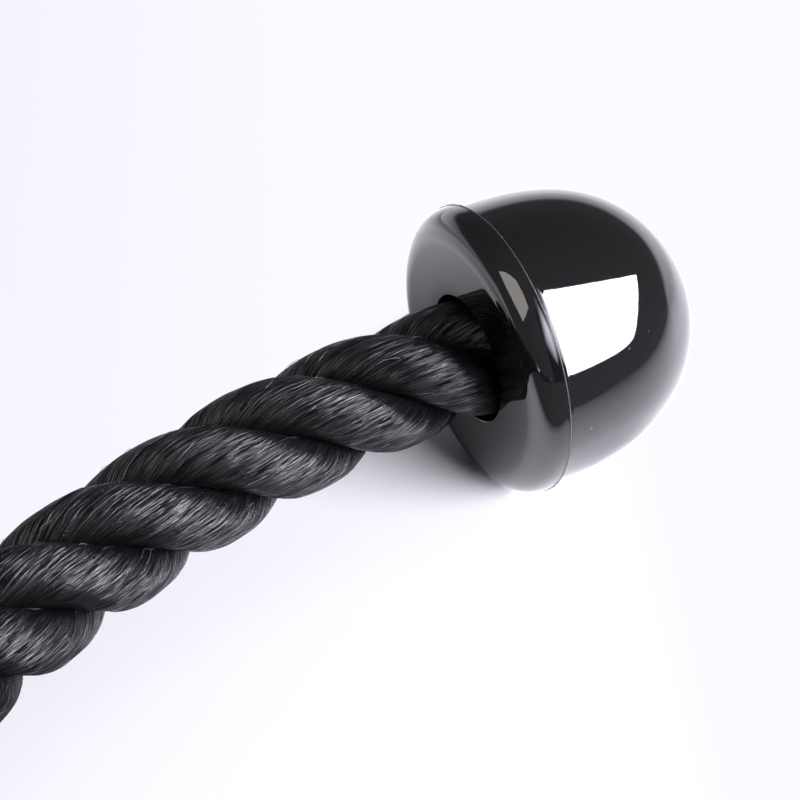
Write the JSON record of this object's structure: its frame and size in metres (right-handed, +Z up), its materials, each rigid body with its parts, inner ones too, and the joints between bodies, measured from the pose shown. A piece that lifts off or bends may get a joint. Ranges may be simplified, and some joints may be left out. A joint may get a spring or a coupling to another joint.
{
  "type": "triceps rope attachment",
  "caption": "Short thick laid rope for a cable machine, bent as an arch through a swaged steel sleeve with a welded eye, with a round snap-together plastic stopper on each end.",
  "frame": {"origin": "on the floor under the middle of the attachment without its rope", "axes": "+X along the sleeve, from the left leg to the right one; +Y from the legs towards the eye; +Z up, away from the floor it lies on"},
  "size_m": [0.5406, 0.2734, 0.0729],
  "materials": {
    "laid_rope": "black continuous-filament yarn with a silky sheen",
    "stopper_plastic": "mirror-gloss black moulded plastic",
    "plated_steel": "satin chrome plate",
    "weld_metal": "rippled weld, plated over",
    "zinc_plated_steel": "zinc plate",
    "natural_nylon": "natural nylon, matt",
    "waxed_twine": "waxed black twine"
  },
  "bodies": {
    "centre": {"collar_sleeve": "plated_steel", "eye_ring": "plated_steel", "weld_bead_front": "weld_metal", "weld_bead_back": "weld_metal", "rope_centre": "laid_rope"},
    "leg_right": {"rope_leg_right": "laid_rope", "end_whipping_right": "waxed_twine", "end_ferrule_right": "zinc_plated_steel", "thrust_washer_right": "natural_nylon", "end_washer_right": "zinc_plated_steel", "lag_screw_right": "zinc_plated_steel"},
    "stopper_right": {"end_plate_right": "stopper_plastic", "end_dome_right": "stopper_plastic"},
    "leg_left": {"rope_leg_left": "laid_rope", "end_whipping_left": "waxed_twine", "end_ferrule_left": "zinc_plated_steel", "thrust_washer_left": "natural_nylon", "end_washer_left": "zinc_plated_steel", "lag_screw_left": "zinc_plated_steel"},
    "stopper_left": {"end_plate_left": "stopper_plastic", "end_dome_left": "stopper_plastic"}
  },
  "joints": [
    {"name": "leg_right_bend", "type": "hinge", "parent": "centre", "child": "leg_right", "pos_m": [0.03, 0.07499, 0.0202], "axis": [0, 0, 1], "range_deg": [-40, 25]},
    {"name": "stopper_right_spin", "type": "hinge", "parent": "leg_right", "child": "stopper_right", "pos_m": [0.22967, -0.08894, 0.03641], "axis": [0.4247, -0.9026, 0.0698], "continuous": true},
    {"name": "leg_left_bend", "type": "hinge", "parent": "centre", "child": "leg_left", "pos_m": [-0.03, 0.07499, 0.0202], "axis": [0, 0, -1], "range_deg": [-40, 25]},
    {"name": "stopper_left_spin", "type": "hinge", "parent": "leg_left", "child": "stopper_left", "pos_m": [-0.22967, -0.08894, 0.03641], "axis": [-0.4247, -0.9026, 0.0698], "continuous": true}
  ]
}
